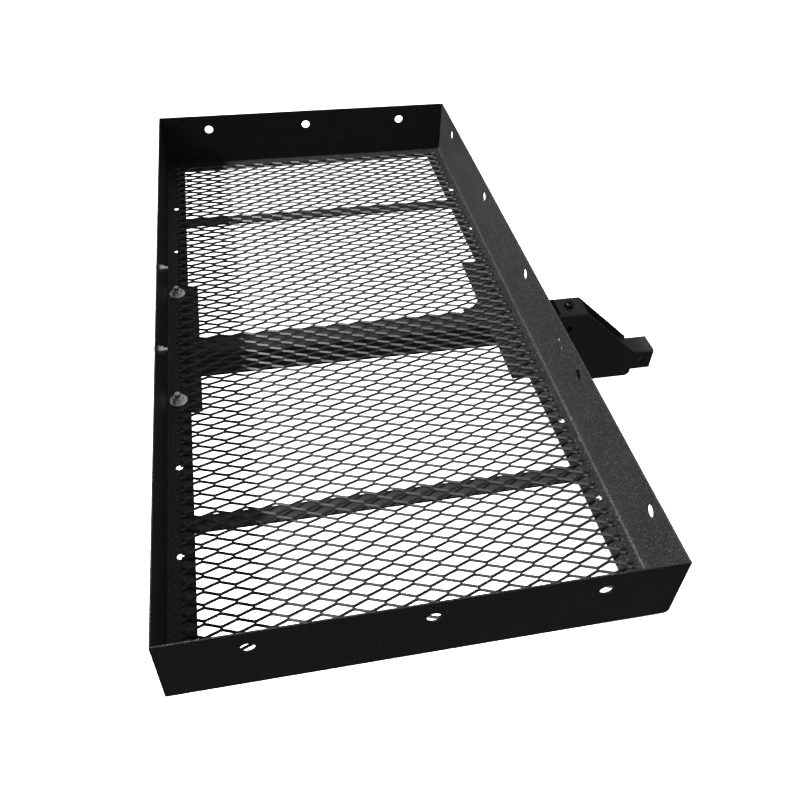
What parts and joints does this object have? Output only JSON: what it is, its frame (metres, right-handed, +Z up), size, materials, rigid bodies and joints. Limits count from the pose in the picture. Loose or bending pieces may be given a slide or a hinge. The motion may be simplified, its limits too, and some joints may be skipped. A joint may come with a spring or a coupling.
{
  "type": "hitch-mounted folding cargo tray",
  "caption": "Steel mesh cargo tray on a centre arm that folds up about a hinge bracket on a square hitch shank.",
  "frame": {"origin": "centre of the hitch-pin hole, on the axis of the square shank", "axes": "+X towards the vehicle along the shank, +Y along the tray's length, +Z up"},
  "size_m": [0.9943, 1.37, 0.301],
  "materials": {
    "shank_coat": "satin black powder coat",
    "bracket_coat": "satin black powder coat",
    "frame_coat": "satin black powder coat",
    "tray_coat": "fine-textured black powder coat",
    "mesh_coat": "satin black powder coat",
    "zinc_fasteners": "zinc plated",
    "zinc_pin": "zinc plated",
    "black_fasteners": "black oxide",
    "bush_steel": "turned",
    "cap_plastic": "moulded matt"
  },
  "bodies": {
    "hitch_bracket": {"shank_tube": "shank_coat", "hinge_bracket": "bracket_coat", "hinge_bolt": "zinc_fasteners", "hinge_nut": "zinc_fasteners", "hinge_washers": "zinc_fasteners", "levelling_screw": "black_fasteners", "levelling_nut": "black_fasteners"},
    "stop_pin": {"stop_pin": "zinc_pin"},
    "tray": {"arm_tube": "frame_coat", "hinge_bush": "bush_steel", "arm_end_cap": "cap_plastic", "outer_cross_plate": "frame_coat", "inner_cross_plate": "frame_coat", "outer_side_rail": "tray_coat", "vehicle_side_rail": "tray_coat", "near_end_wall": "tray_coat", "far_end_wall": "tray_coat", "near_cross_bar": "frame_coat", "far_cross_bar": "frame_coat", "mesh_floor": "mesh_coat", "floor_bolts": "zinc_fasteners", "floor_washers": "zinc_fasteners", "floor_nuts": "zinc_fasteners", "wall_bolts": "zinc_fasteners", "wall_washers": "zinc_fasteners", "wall_nuts": "zinc_fasteners"}
  },
  "joints": [
    {"name": "tray_fold", "type": "hinge", "parent": "hitch_bracket", "child": "tray", "pos_m": [-0.236, 0, 0.111], "axis": [0, 1, 0], "range_deg": [0, 90]},
    {"name": "stop_pin_pull", "type": "slide", "parent": "hitch_bracket", "child": "stop_pin", "axis": [0, 1, 0], "range_m": [0, 0.085]}
  ]
}
